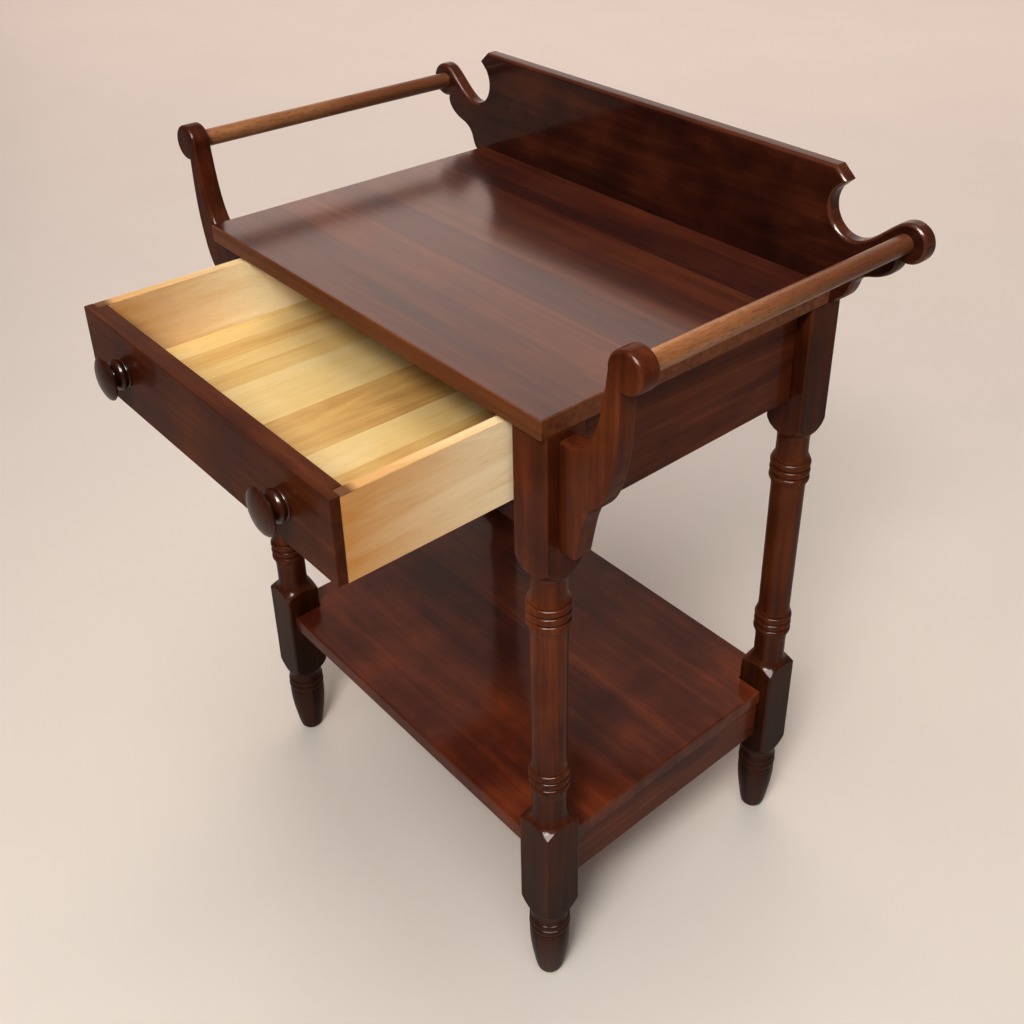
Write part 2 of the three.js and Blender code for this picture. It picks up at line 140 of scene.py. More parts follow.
def sawOutline(name, outline, front, back, ease, segments=4):  # an upright board with a shaped edge
    piece = startLine(name, [(x, front, z) for x, z in outline])
    bpy.ops.mesh.select_all(action="SELECT")
    bpy.ops.mesh.edge_face_add()
    bpy.ops.mesh.extrude_region_move(TRANSFORM_OT_translate={"value": (0, back - front, 0)})
    bpy.ops.mesh.select_all(action="SELECT")
    bpy.ops.mesh.normals_make_consistent(inside=False)
    closeEditing()
    onFront, onBack = edgeOn(1, front), edgeOn(1, back)
    roundEdges(piece, lambda edge: onFront(edge) or onBack(edge), ease, segments)
    return piece


def applyModifier(piece, kind, **settings):
    bpy.ops.object.select_all(action="DESELECT")
    piece.select_set(True)
    bpy.context.view_layer.objects.active = piece
    modifier = piece.modifiers.new(kind.lower(), kind)
    for key, value in settings.items():
        setattr(modifier, key, value)
    bpy.ops.object.modifier_apply(modifier=modifier.name)


def place(piece, location=(0, 0, 0), rotation=(0, 0, 0)):
    bpy.ops.object.select_all(action="DESELECT")
    piece.select_set(True)
    bpy.context.view_layer.objects.active = piece
    piece.location = location
    piece.rotation_euler = rotation
    bpy.ops.object.transform_apply(location=True, rotation=True, scale=True)


def copyPiece(piece, name):
    twin = piece.copy()
    twin.data = piece.data.copy()
    twin.name = name
    twin.data.name = name
    bpy.context.scene.collection.objects.link(twin)
    return twin


def mirrorAcross(piece):  # to the other side of the table
    bpy.ops.object.select_all(action="DESELECT")
    piece.select_set(True)
    bpy.context.view_layer.objects.active = piece
    piece.scale = (-1, 1, 1)
    bpy.ops.object.transform_apply(location=True, rotation=True, scale=True)
    openForEditing(piece)
    bpy.ops.mesh.select_all(action="SELECT")
    bpy.ops.mesh.normals_make_consistent(inside=False)
    closeEditing()


finishValues = {"smoothAngle": 38, "normalWeight": 80, "flatFace": 0.97}


def finishPiece(piece, material, body, replaced, angle=None, wornAndBounceLitFace=None):
    bpy.ops.object.select_all(action="DESELECT")
    piece.select_set(True)
    bpy.context.view_layer.objects.active = piece
    bpy.ops.object.shade_smooth_by_angle(angle=math.radians(angle or finishValues["smoothAngle"]))
    applyModifier(piece, "WEIGHTED_NORMAL", keep_sharp=True, weight=finishValues["normalWeight"])
    # marks eased faces and the faces the test picks: the woods lighten them as edge wear, and on the
    # tabletop rim as painted bounce light
    wearAndBounceMark = piece.data.attributes.new("edgeWearAndBounceLight", "FLOAT", "FACE")
    for face, mark in zip(piece.data.polygons, wearAndBounceMark.data):
        eased = max(abs(n) for n in face.normal) < finishValues["flatFace"]
        mark.value = 1 if eased or (wornAndBounceLitFace and wornAndBounceLitFace(face)) else 0
    for dressed in [piece] + [cadNodes[node] for node in replaced]:  # hidden parts get it too
        dressed.data.materials.clear()
        dressed.data.materials.append(material)
    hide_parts(*replaced)
    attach(piece, body)
    return piece


def addNode(tree, kind, inputs=None, **settings):
    node = tree.nodes.new(kind)
    for key, value in settings.items():
        setattr(node, key, value)
    for key, value in (inputs or {}).items():
        if isinstance(value, bpy.types.NodeSocket):
            tree.links.new(value, node.inputs[key])
        else:
            node.inputs[key].default_value = value
    return node


def mathNode(tree, operation, a, b=0.0, c=0.0):
    return addNode(tree, "ShaderNodeMath", {0: a, 1: b, 2: c}, operation=operation).outputs[0]


def colourRamp(tree, factor, stops):
    node = addNode(tree, "ShaderNodeValToRGB", {0: factor})
    ramp = node.color_ramp
    while len(ramp.elements) < len(stops):
        ramp.elements.new(0.5)
    for element, (position, colour) in zip(ramp.elements, stops):
        element.position = position
        element.color = (*colour, 1)
    return node.outputs[0]


def mixColour(tree, factor, a, b):
    node = addNode(tree, "ShaderNodeMix", data_type="RGBA")
    for index, value in ((0, factor), (6, a), (7, b)):
        if isinstance(value, bpy.types.NodeSocket):
            tree.links.new(value, node.inputs[index])
        else:
            node.inputs[index].default_value = value
    return node.outputs[2]


grainValues = {
    "staveShift": 7.0, "noiseRoughness": 0.55, "cloudDetail": 3.0, "cloudRoughness": 0.6,
    "fadeUneven": 0.12, "fadeShare": 0.9, "spillShare": 0.88, "bumpDepth": mm(0.25), "bumpStreak": 0.5,
}


def woodFinish(name, values):  # grain along the first axis, staves side by side across the second
    material = bpy.data.materials.new(name)
    material.use_nodes = True
    tree = material.node_tree
    shader = tree.nodes["Principled BSDF"]
    coords = addNode(tree, "ShaderNodeTexCoord").outputs["Object"]
    split = addNode(tree, "ShaderNodeSeparateXYZ", {0: coords})
    along, across, through = (split.outputs[n] for n in values["axes"])

    stave = mathNode(tree, "MULTIPLY_ADD", across, 1 / values["staveWidth"], values["staveOffset"])
    if values["unevenStaves"]:
        cells = {"W": stave, "Scale": 1.0, "Randomness": 1.0}
        stave = addNode(tree, "ShaderNodeTexVoronoi", cells, voronoi_dimensions="1D").outputs["W"]
    else:
        stave = mathNode(tree, "FLOOR", stave)
    chance = addNode(tree, "ShaderNodeTexWhiteNoise", {"W": stave}, noise_dimensions="1D")
    shift = mathNode(tree, "MULTIPLY", chance.outputs["Value"], grainValues["staveShift"])

    def grainNoise(alongScale, acrossScale, detail, distortion):  # noise drawn out along the grain
        vector = addNode(tree, "ShaderNodeCombineXYZ", {
            0: mathNode(tree, "MULTIPLY_ADD", along, alongScale, shift),
            1: mathNode(tree, "MULTIPLY", across, acrossScale),
            2: mathNode(tree, "MULTIPLY", through, acrossScale),
        }).outputs[0]
        return addNode(tree, "ShaderNodeTexNoise", {
            "Vector": vector, "Scale": 1.0, "Detail": detail, "Distortion": distortion,
            "Roughness": grainValues["noiseRoughness"],
        }).outputs[0]

    figure = grainNoise(*values["figure"])
    streak = grainNoise(*values["streak"])
    pore = grainNoise(*values["pore"])
    cloud = addNode(tree, "ShaderNodeTexNoise", {
        "Vector": coords, "Scale": values["cloudScale"], "Detail": grainValues["cloudDetail"],
        "Roughness": grainValues["cloudRoughness"],
    }).outputs[0]

    mixed = mathNode(tree, "MULTIPLY", figure, values["figureShare"])
    mixed = mathNode(tree, "ADD", mixed, mathNode(tree, "MULTIPLY", streak, values["streakShare"]))
    mixed = mathNode(tree, "ADD", mixed, mathNode(tree, "MULTIPLY", cloud, values["cloudShare"]))
    staveTone = mathNode(tree, "SUBTRACT", chance.outputs["Value"], 0.5)
    mixed = mathNode(tree, "ADD", mixed, mathNode(tree, "MULTIPLY", staveTone, values["staveShare"]))
    tone = values["tone"]
    stops = [(spot, tuple(tone * part for part in stop)) for spot, stop in values["stops"]]
    colour = colourRamp(tree, mixed, stops)
    other = mathNode(tree, "MULTIPLY", chance.outputs["Color"], values["otherShare"])
    colour = mixColour(tree, other, colour, (*values["otherColour"], 1))
    if "fade" in values:  # another colour towards one end: a real stain on the drawer sides, darker towards the back on the bars, painted shade towards the floor on the legs
        start, end, fadeColour = values["fade"]
        uneven = mathNode(tree, "MULTIPLY_ADD", figure, grainValues["fadeUneven"], along)
        fade = addNode(tree, "ShaderNodeMapRange", {
            0: uneven, 1: start, 2: end, 3: grainValues["fadeShare"], 4: 0.0,
        }).outputs[0]
        colour = mixColour(tree, fade, colour, (*fadeColour, 1))
    poreMask = addNode(tree, "ShaderNodeMapRange", {
        0: pore, 1: values["poreFrom"], 2: values["poreTo"], 3: 0.0, 4: values["poreShare"],
    }).outputs[0]
    colour = mixColour(tree, poreMask, colour, (*values["poreColour"], 1))
    # eased faces take a lighter colour: edge wear, and on the tabletop rim painted bounce light
    wearAndBounceMark = addNode(tree, "ShaderNodeAttribute", attribute_name="edgeWearAndBounceLight").outputs["Fac"]
    wearAndBounceMask = mathNode(tree, "MULTIPLY", wearAndBounceMark, mathNode(tree, "MULTIPLY", streak, values["wearAndBounceShare"]))
    colour = mixColour(tree, wearAndBounceMask, colour, (*values["wearAndBounceColour"], 1))
    if "spill" in values:  # stain that ran over onto the worn faces
        start, end, spillColour = values["spill"]
        spill = addNode(tree, "ShaderNodeMapRange", {
            0: along, 1: start, 2: end, 3: grainValues["spillShare"], 4: 0.0,
        }).outputs[0]
        colour = mixColour(tree, mathNode(tree, "MULTIPLY", spill, wearAndBounceMark), colour, (*spillColour, 1))
    tree.links.new(colour, shader.inputs["Base Color"])

    rough = addNode(tree, "ShaderNodeMapRange", {
        0: cloud, 1: 0.3, 2: 0.7, 3: values["rough"][0], 4: values["rough"][1],
    }).outputs[0]
    tree.links.new(rough, shader.inputs["Roughness"])
    shader.inputs["Specular IOR Level"].default_value = values["specular"]
    coat = addNode(tree, "ShaderNodeMapRange", {
        0: wearAndBounceMark, 1: 0.0, 2: 1.0, 3: values["coat"], 4: values["coat"] * values["coatOnWearAndBounce"],
    }).outputs[0]
    tree.links.new(coat, shader.inputs["Coat Weight"])
    shader.inputs["Coat Roughness"].default_value = values["coatRough"]
    height = mathNode(tree, "MULTIPLY", streak, grainValues["bumpStreak"])
    height = mathNode(tree, "SUBTRACT", height, poreMask)
    bump = addNode(tree, "ShaderNodeBump", {
        "Strength": values["bump"], "Distance": grainValues["bumpDepth"], "Height": height,
    })
    tree.links.new(bump.outputs[0], shader.inputs["Normal"])
    return material


stainedCherry = {
    "axes": (0, 1, 2), "staveWidth": mm(54), "staveOffset": 0.35, "unevenStaves": False,
    "figure": (2.2, 26, 5.0, 1.2), "streak": (6, 150, 6.0, 0.4), "pore": (55, 1500, 2.0, 0.0),
    "cloudScale": 9.0, "figureShare": 0.55, "streakShare": 0.25, "cloudShare": 0.35, "staveShare": 0.16,
    "stops": (
        (0.30, (0.020, 0.0032, 0.0014)), (0.47, (0.058, 0.0105, 0.0034)),
        (0.62, (0.118, 0.0250, 0.0070)), (0.80, (0.230, 0.0600, 0.0150)),
    ),
    "poreFrom": 0.58, "poreTo": 0.72, "poreShare": 0.45, "poreColour": (0.012, 0.004, 0.003),
    "wearAndBounceShare": 0.45, "wearAndBounceColour": (0.20, 0.060, 0.024),
    "otherShare": 0.0, "otherColour": (0.02, 0.008, 0.008),
    "rough": (0.36, 0.48), "coat": 0.26, "coatRough": 0.10, "coatOnWearAndBounce": 1.0, "bump": 0.10,
    "specular": 0.06, "tone": 0.92,
}
alongX = woodFinish("stainedCherryAlongX", {
    **stainedCherry, "coat": 0.08, "specular": 0.03, "tone": 0.47, "cloudScale": 7.0, "cloudShare": 0.62,
    "figureShare": 0.42, "wearAndBounceColour": (0.09, 0.028, 0.012),
})
# tabletop: rim faces and eased edges take the lighter colour, partly edge wear and partly painted bounce
# light from the open drawer on the rim
topWood = woodFinish("stainedCherryTop", {
    **stainedCherry, "coat": 0.95, "coatRough": 0.17, "tone": 0.78, "otherShare": 0.7, "staveShare": 0.2,
    "otherColour": (0.030, 0.0105, 0.0115), "bump": 0.08, "wearAndBounceShare": 1.1, "coatOnWearAndBounce": 0.1,
    "wearAndBounceColour": (0.21, 0.073, 0.026),
})
shelfWood = woodFinish("stainedCherryShelf", {
    **stainedCherry, "coat": 0.24, "tone": 1.22, "staveWidth": mm(70), "figureShare": 0.36,
    "streakShare": 0.14, "cloudShare": 0.56, "staveShare": 0.10,
})
alongY = woodFinish("stainedCherryAlongY", {
    **stainedCherry, "axes": (1, 0, 2), "staveWidth": 1.0, "staveOffset": 0.5, "coat": 0.14, "tone": 0.85,
})
uprightWood = {
    **stainedCherry, "axes": (2, 0, 1), "staveWidth": mm(130), "staveOffset": 0.5, "tone": 0.64,
    "figure": (3.0, 60, 5.0, 0.8), "streak": (9, 260, 6.0, 0.3),
    "coat": 0.17, "coatRough": 0.07, "specular": 0.03,
    "figureShare": 0.42, "streakShare": 0.18, "cloudShare": 0.58, "wearAndBounceShare": 0.18,
    # painted shade: the legs darken towards the floor, below the tabletop and around the shelf
    "fade": (0.17, 0.42, (0.012, 0.0035, 0.0020)),
}
alongZ = woodFinish("stainedCherryAlongZ", uprightWood)
# painted shade: a darker copy of the upright finish for the rear legs, which stand in shade
rearLegShadedWood = woodFinish("stainedCherryRearLegsShaded", {**uprightWood, "tone": 0.42})
backsplashWood = woodFinish("stainedCherryBacksplash", {
    **stainedCherry, "axes": (0, 2, 1), "staveWidth": mm(200), "staveOffset": 0.5,
    "figure": (3.0, 18, 5.0, 2.2), "figureShare": 0.36, "cloudScale": 14.0, "cloudShare": 0.5,
    "tone": 0.58, "coat": 0.42,
})
knobWood = woodFinish("stainedCherryKnobs", {
    **stainedCherry, "axes": (1, 0, 2), "staveWidth": 1.0, "staveOffset": 0.5, "tone": 0.30, "coat": 0.42,
    "coatRough": 0.09, "wearAndBounceShare": 0.0,
})
barWood = woodFinish("wornBarWood", {
    **stainedCherry, "axes": (1, 0, 2), "staveWidth": mm(300), "staveOffset": 0.5,
    "figure": (5, 55, 5.0, 1.0), "streak": (22, 420, 5.0, 0.6), "pore": (120, 1500, 2.0, 0.0),
    "stops": (
        (0.30, (0.140, 0.050, 0.019)), (0.46, (0.245, 0.104, 0.042)),
        (0.60, (0.350, 0.168, 0.072)), (0.80, (0.470, 0.255, 0.125)),
    ),
    "poreColour": (0.07, 0.022, 0.01), "poreShare": 0.65, "poreFrom": 0.54, "poreTo": 0.66,
    "rough": (0.36, 0.5), "coat": 0.35, "coatRough": 0.2, "tone": 1.08,
    "fade": (0.27, 0.02, (0.10, 0.034, 0.014)),
})
paleMaple = {
    **stainedCherry, "axes": (1, 0, 2), "staveWidth": mm(54), "staveOffset": 0.2,
    "figure": (2.6, 22, 4.0, 1.6), "streak": (5, 190, 6.0, 0.5), "pore": (60, 1600, 2.0, 0.0),
    "cloudScale": 6.0, "figureShare": 0.55, "streakShare": 0.14, "cloudShare": 0.33, "staveShare": 0.34,
    "stops": (
        (0.24, (0.440, 0.220, 0.062)), (0.40, (0.640, 0.400, 0.140)),
        (0.54, (0.735, 0.530, 0.225)), (0.76, (0.790, 0.640, 0.360)),
    ),
    "poreColour": (0.45, 0.25, 0.09), "poreShare": 0.25, "poreFrom": 0.56, "poreTo": 0.70,
    "wearAndBounceShare": 0.9, "wearAndBounceColour": (0.66, 0.40, 0.16),
    "rough": (0.42, 0.56), "coat": 0.15, "coatRough": 0.3, "bump": 0.18, "tone": 1.0, "specular": 0.3,
}
drawerStaves = woodFinish("paleMapleStaves", {
    **paleMaple, "figure": (3.4, 18, 4.0, 1.6), "figureShare": 0.46, "cloudScale": 10.0,
    "cloudShare": 0.30,
    "streakShare": 0.16, "staveShare": 0.26, "staveWidth": mm(34), "unevenStaves": True, "tone": 0.88,
})
drawerBoard = woodFinish("paleMapleBoard", {
    **paleMaple, "axes": (1, 2, 0), "staveWidth": mm(260), "staveOffset": 0.5, "tone": 1.12,
    "figure": (3.0, 22, 4.0, 2.0), "figureShare": 0.80, "cloudScale": 9.0, "cloudShare": 0.4,
    "fade": (-0.20, -0.02, (0.500, 0.205, 0.026)), "spill": (-0.252, -0.243, (0.075, 0.022, 0.010)),
    "wearAndBounceColour": (0.52, 0.32, 0.12), "coat": 0.05, "specular": 0.12,
    "stops": (
        (0.24, (0.520, 0.280, 0.090)), (0.40, (0.700, 0.460, 0.195)),
        (0.54, (0.800, 0.600, 0.320)), (0.76, (0.840, 0.720, 0.490)),
    ),
})
drawerBackWood = woodFinish("paleMapleAcross", {
    **paleMaple, "staveWidth": mm(260), "staveOffset": 0.5, "axes": (0, 2, 1),
})
pineWood = woodFinish("planedPine", {
    **paleMaple, "staveWidth": mm(400), "staveOffset": 0.5, "axes": (1, 0, 2),
    "stops": (
        (0.28, (0.230, 0.120, 0.048)), (0.45, (0.360, 0.205, 0.090)),
        (0.60, (0.460, 0.290, 0.140)), (0.78, (0.560, 0.390, 0.210)),
    ),
    "coat": 0.0, "rough": (0.6, 0.75),
})


def metalFinish(name, values):
    material = bpy.data.materials.new(name)
    material.use_nodes = True
    tree = material.node_tree
    shader = tree.nodes["Principled BSDF"]
    coords = addNode(tree, "ShaderNodeTexCoord").outputs["Object"]
    dull = addNode(tree, "ShaderNodeTexNoise", {
        "Vector": coords, "Scale": values["scale"], "Detail": 4.0,
    }).outputs[0]
    tree.links.new(colourRamp(tree, dull, values["stops"]), shader.inputs["Base Color"])
    rough = addNode(tree, "ShaderNodeMapRange", {
        0: dull, 1: 0.3, 2: 0.7, 3: values["rough"][0], 4: values["rough"][1],
    }).outputs[0]
    tree.links.new(rough, shader.inputs["Roughness"])
    shader.inputs["Metallic"].default_value = 1.0
    return material


zincSteel = metalFinish("zincSteel", {
    "scale": 300.0, "stops": ((0.35, (0.34, 0.34, 0.33)), (0.65, (0.62, 0.62, 0.60))),
    "rough": (0.28, 0.5),
})
print("made", len(bpy.data.materials), "finishes")

keptFinishes = {  # finish and eased edge in mm of each board that keeps its own shape
    "side_apron": (alongY, 1.2), "stretcher": (alongY, 1.4), "back_apron": (alongX, 1.2),
    "front_rail": (alongX, 1.0), "drawer_bottom": (drawerStaves, 0.3),
    "drawer_back": (drawerBackWood, 1.0), "drawer_runner": (pineWood, 0.6),
    "drawer_guide": (pineWood, 0.6), "drawer_stop": (pineWood, 0.6), "top_cleat": (pineWood, 0.6),
    "bracket_dowel": (pineWood, 0.0), "screw": (zincSteel, 0.0),
}
keptValues = {"segments": 2, "flatAngle": 2, "edgeAngle": 50}


def dressKeptPart(name, piece):
    finish, ease = next(value for key, value in keptFinishes.items() if key in name)
    piece.data.materials.clear()
    piece.data.materials.append(finish)
    if ease:
        weld = piece.modifiers.new("weld", "WELD")
        weld.merge_threshold = weldGap
        flat = piece.modifiers.new("flat", "DECIMATE")
        flat.decimate_type = "DISSOLVE"
        flat.angle_limit = math.radians(keptValues["flatAngle"])
        eased = piece.modifiers.new("eased", "BEVEL")
        eased.width = mm(ease)
        eased.segments = keptValues["segments"]
        eased.limit_method = "ANGLE"
        eased.angle_limit = math.radians(keptValues["edgeAngle"])


topValues = {"cornerRound": mm(2.0), "upperEase": mm(1.5), "lowerEase": mm(1.2), "rimSlope": 0.5}


def makeTabletop():
    low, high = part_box("tabletop")
    piece = startBlock("table_top", low, high)
    upright, front = edgeAlong(2), edgeOn(1, low.y)
    roundEdges(piece, lambda edge: upright(edge) and front(edge), topValues["cornerRound"], 3)
    top, bottom, back = edgeOn(2, high.z), edgeOn(2, low.z), edgeOn(1, high.y)
    roundEdges(piece, lambda edge: top(edge) and not back(edge), topValues["upperEase"], 4)
    roundEdges(piece, lambda edge: bottom(edge) and not back(edge), topValues["lowerEase"], 2)
    finishPiece(
        piece, topWood, "frame", ["tabletop"],
        # painted bounce light: the upright rim faces of the tabletop get the lighter colour as if lit by
        # light bounced from the open drawer
        wornAndBounceLitFace=lambda face: abs(face.normal.z) < topValues["rimSlope"],
    )


shelfValues = {"ease": mm(2.0), "lowerEase": mm(1.2), "legGap": mm(0.3)}


def makeShelf():
    low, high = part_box("shelf")
    legLow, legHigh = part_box("front_right_leg")
    backLow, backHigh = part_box("back_right_leg")
    gap = shelfValues["legGap"]
    inner = legLow.x - gap
    piece = startBlock("lower_shelf", (-inner, low.y, low.z), (inner, high.y, high.z))
    openForEditing(piece)
    for cut in (legHigh.y + gap, backLow.y - gap):
        bpy.ops.mesh.select_all(action="SELECT")
        bpy.ops.mesh.bisect(plane_co=(0, cut, 0), plane_no=(0, 1, 0))
    for side in sideNames:  # the ears that pass between the legs

        def betweenLegs(face):
            return face.normal.x * side > 0.9 and legHigh.y < face.calc_center_median().y < backLow.y

        pick(piece, "FACE", betweenLegs)
        reach = (high.x - inner) * side
        bpy.ops.mesh.extrude_region_move(TRANSFORM_OT_translate={"value": (reach, 0, 0)})
    bpy.ops.mesh.select_all(action="SELECT")
    bpy.ops.mesh.normals_make_consistent(inside=False)
    bpy.ops.mesh.dissolve_limited(angle_limit=math.radians(1))
    closeEditing()
    top, bottom = edgeOn(2, high.z), edgeOn(2, low.z)
    roundEdges(piece, top, shelfValues["ease"], 4)
    roundEdges(piece, bottom, shelfValues["lowerEase"], 2)
    finishPiece(piece, shelfWood, "frame", ["shelf"])


def arc(centre, radius, start, end, count):  # points round a circle, angles in degrees
    angles = [math.radians(start + (end - start) * n / count) for n in range(count + 1)]
    return [(centre[0] + radius * math.cos(a), centre[1] + radius * math.sin(a)) for a in angles]


def curve(a, b, c, d, count=14):  # points after a, along a smooth curve to d
    points = []
    for n in range(1, count + 1):
        t = n / count
        s = 1 - t
        points.append(tuple(
            s ** 3 * a[i] + 3 * s * s * t * b[i] + 3 * s * t * t * c[i] + t ** 3 * d[i] for i in (0, 1)
        ))
    return points


def sweep(outline, stretches):  # adds one curve after another
    for b, c, d, count in stretches:
        outline += curve(outline[-1], b, c, d, count)


backsplashValues = {  # outline in mm, seen from the front
    "ease": mm(4.4), "shoulderX": 258, "noseX": 272, "noseDrop": 12.5,
    "biteCentre": (285, 819), "biteRadius": 28.5, "biteTurn": (147, 270, 24),
    "knobRadius": 20, "knobTurn": (115, -112, 26), "armTop": ((304, 790.5), (322.5, 817.4)),
    "underside": (
        ((341, 777), (330, 765), (310, 760), 14), ((302, 757.5), (295.5, 753), (293, 746), 8),
        ((291, 738), (288, 731), (281, 727), 8),
    ),
    "toe": (276, 722), "footX": (272, 265),
}


def makeBacksplash():
    low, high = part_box("backsplash")
    barLow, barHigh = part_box("right_towel_bar")
    values = backsplashValues
    top, bottom = high.z * 1000, low.z * 1000
    knob = (high.x * 1000 - values["knobRadius"], (barLow.z + barHigh.z) * 500)
    end = [(values["shoulderX"], top), (values["noseX"], top - values["noseDrop"])]
    end += arc(values["biteCentre"], values["biteRadius"], *values["biteTurn"])
    knobArc = arc(knob, values["knobRadius"], *values["knobTurn"])
    end += curve(end[-1], *values["armTop"], knobArc[0])[:-1]
    end += knobArc
    sweep(end, values["underside"])
    footX = values["footX"]
    end += curve(end[-1], values["toe"], (footX[0], bottom), (footX[1], bottom), 8)
    outline = end + [(-x, z) for x, z in reversed(end)]
    outline = [(mm(x), mm(z)) for x, z in outline]
    piece = sawOutline("back_splash", outline, low.y, high.y, values["ease"])
    finishPiece(piece, backsplashWood, "frame", ["backsplash"])


bracketValues = {  # outline in mm, seen from the front
    "ease": mm(4.0), "footWidth": 22, "footRound": 6, "footTurns": ((180, 270, 6), (270, 345, 6)),
    "outside": (
        ((295, 622), (298, 640), (302, 650), 14), ((303.5, 655), (305, 658), (309, 661), 6),
        ((320, 669), (326, 682), (329, 696), 14),
    ),
    "neck": ((335, 717), (338.5, 740)), "knobRadius": 19.2, "knobTurn": (-105, 190, 34),
    "inside": (
        ((319, 770), (313, 723), (288, 714.5), 20), ((285, 713.6), (282, 713.5), (279, 713.5), 4),
    ),
    "shoulderRound": 5, "shoulderHeight": 708.5, "shoulderTurn": (90, 175, 6),
}


def makeBrackets():
    low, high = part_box("right_towel_bracket")
    barLow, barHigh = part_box("right_towel_bar")
    values = bracketValues
    inner, foot = low.x * 1000, low.z * 1000
    knob = (high.x * 1000 - values["knobRadius"], (barLow.z + barHigh.z) * 500)
    bend, (firstTurn, lastTurn) = values["footRound"], values["footTurns"]
    outline = arc((inner + bend, foot + bend), bend, *firstTurn)
    outline += arc((inner + values["footWidth"] - bend, foot + bend), bend, *lastTurn)
    sweep(outline, values["outside"])
    knobArc = arc(knob, values["knobRadius"], *values["knobTurn"])
    outline += curve(outline[-1], *values["neck"], knobArc[0])[:-1]
    outline += knobArc
    sweep(outline, values["inside"])
    bend = values["shoulderRound"]
    outline += arc((inner + bend, values["shoulderHeight"]), bend, *values["shoulderTurn"])
    outline = [(mm(x), mm(z)) for x, z in outline]
    right = sawOutline("right_bracket", outline, low.y, high.y, values["ease"])
    left = copyPiece(right, "left_bracket")
    mirrorAcross(left)
    for piece, side in ((right, "right"), (left, "left")):
        finishPiece(piece, alongZ, "frame", [side + "_towel_bracket"])


barValues = {"corners": 40, "endEase": mm(0.8), "stations": 9, "unevenness": 0.006, "wander": 2.4}


def makeTowelBars():
    for side in sideNames.values():
        low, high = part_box(side + "_towel_bar")
        middle = (low + high) / 2
        bpy.ops.object.select_all(action="DESELECT")
        bpy.ops.mesh.primitive_cylinder_add(
            vertices=barValues["corners"], radius=(high.z - low.z) / 2, depth=high.y - low.y,
            location=middle, rotation=(math.radians(90), 0, 0),
        )
        bpy.ops.object.transform_apply(location=True, rotation=True, scale=True)
        piece = nameNew(side + "_bar")
        openForEditing(piece)
        count = barValues["stations"]
        for n in range(1, count):  # hand-worn, so never quite straight
            cut = low.y + (high.y - low.y) * n / count
            bpy.ops.mesh.select_all(action="SELECT")
            bpy.ops.mesh.bisect(plane_co=(0, cut, 0), plane_no=(0, 1, 0))
            pick(piece, "VERT", lambda corner: near(corner.co.y, cut))
            size = 1 - barValues["unevenness"] * (1 + math.sin(n * barValues["wander"]))
            bpy.ops.transform.resize(value=(size, 1, size), center_override=(middle.x, cut, middle.z))
        closeEditing()
        front, back = edgeOn(1, low.y), edgeOn(1, high.y)
        roundEdges(piece, lambda edge: front(edge) or back(edge), barValues["endEase"], 2)
        finishPiece(piece, barWood, "frame", [side + "_towel_bar"])


legValues = {  # (radius, height) in mm from the floor up, or a ring: height, half, inner, outer
    "cornerEase": mm(2.6), "steps": 56, "shoulderEase": mm(0.7), "smoothAngle": 32,
    "blankSpare": mm(5), "weld": mm(0.02), "flatFace": 0.9999, "runOut": 0.1,
    "foot": (
        (0, 0), (11.8, 0), (12.9, 0.6), (13.8, 2), (14.9, 6), (16.3, 12.5), (17.7, 22), (19.3, 32),
        (20.6, 42), (21.5, 52), (21.9, 61), (21.9, 69), (21.6, 73.2),
    ),
    "footRings": ((78, 3.6, 21.0, 22.5), (86, 3.6, 20.6, 22.1)),
    "lowerBlock": (
        (20.3, 92), (20.1, 96), (20.5, 100), (21.6, 103.2), (24.2, 106.6), (27.4, 110.8), (30, 115.6),
        (31.6, 119.6), (33, 122), (33, 233), (31.5, 235.4), (29.2, 237.4), (25.6, 239.6),
        (22.2, 242.2), (19.6, 245.4), (18.2, 249), (17.7, 254), (17.7, 274), (17.9, 281), (18.9, 285.4),
    ),
    "lowerRings": ((292, 4.3, 18.5, 21.3), (301.5, 4.3, 18.5, 21.3), (311, 4.3, 18.5, 21.3)),
    "column": (
        (19.4, 317.6), (18.3, 320.6), (18.0, 325), (18.2, 400), (18.5, 478), (18.5, 493), (19.2, 497.6),
    ),
    "upperRings": ((504.5, 4.3, 19.1, 22.1), (514, 4.3, 19.1, 22.1), (523.5, 4.3, 19.1, 22.1)),
    "upperBlock": (
        (20.1, 529.6), (18.4, 532.6), (17.6, 536), (17.4, 547), (17.5, 556), (18.2, 561), (20.4, 564),
        (24.2, 567.2), (27.2, 571), (29.6, 576), (31.2, 581.6), (33, 585),
    ),
}


def ring(height, half, inner, outer, count=8):  # half a round, from groove to groove
    turns = [math.pi * n / count for n in range(count + 1)]
    return [(inner + (outer - inner) * math.sin(t), height - half * math.cos(t)) for t in turns]


def legProfile(top):
    profile = []
    for name, part in legValues.items():
        if isinstance(part, tuple):
            for item in part:
                profile += ring(*item) if name.endswith("Rings") else [item]
    profile += [(profile[-1][0], top), (0, top)]
    return [(mm(radius), mm(height)) for radius, height in profile]


